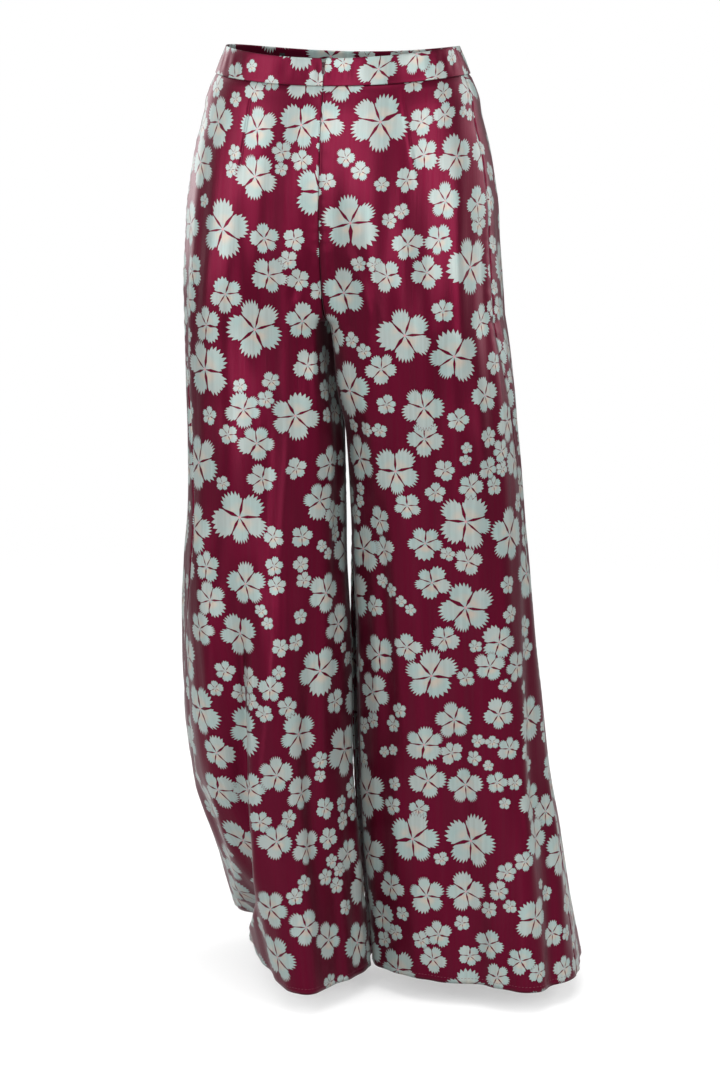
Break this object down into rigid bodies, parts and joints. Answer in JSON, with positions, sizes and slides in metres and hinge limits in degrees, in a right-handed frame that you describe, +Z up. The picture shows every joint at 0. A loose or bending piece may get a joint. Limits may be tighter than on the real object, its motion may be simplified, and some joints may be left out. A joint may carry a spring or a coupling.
{
  "type": "palazzo pants, worn form",
  "caption": "High-waisted wide-legged satin trousers with a waistband and a centre back zip, hollow in their worn form.",
  "frame": {"origin": "middle of the waist ring, level with the waistband's top edge at the centre back, where the wearer's waist holds the garment", "axes": "+Z up, +Y towards the garment's back, -Y towards its front, +X towards the wearer's left"},
  "size_m": [0.4562, 0.3, 1.0484],
  "materials": {
    "satin": "burgundy satin with a light floral print",
    "zip_tape": "woven tape",
    "enamel": "enamelled zip slider and pull",
    "label": "plain black woven tab"
  },
  "bodies": {
    "garment": {"back_left": "satin", "back_left_leg": "satin", "back_right": "satin", "front_left": "satin", "front_right": "satin", "waistband_front": "satin", "waistband_back_left": "satin", "waistband_back_right": "satin", "zip_tape_left": "zip_tape", "zip_tape_right": "zip_tape", "label": "label", "zip_slider": "enamel"},
    "pull_tab": {"zip_pull_tab": "enamel"}
  },
  "joints": [
    {"name": "pull_tab_hinge", "type": "hinge", "parent": "garment", "child": "pull_tab", "pos_m": [0, 0.09525, -0.00716], "axis": [1, 0, 0], "range_deg": [0, 150]}
  ]
}
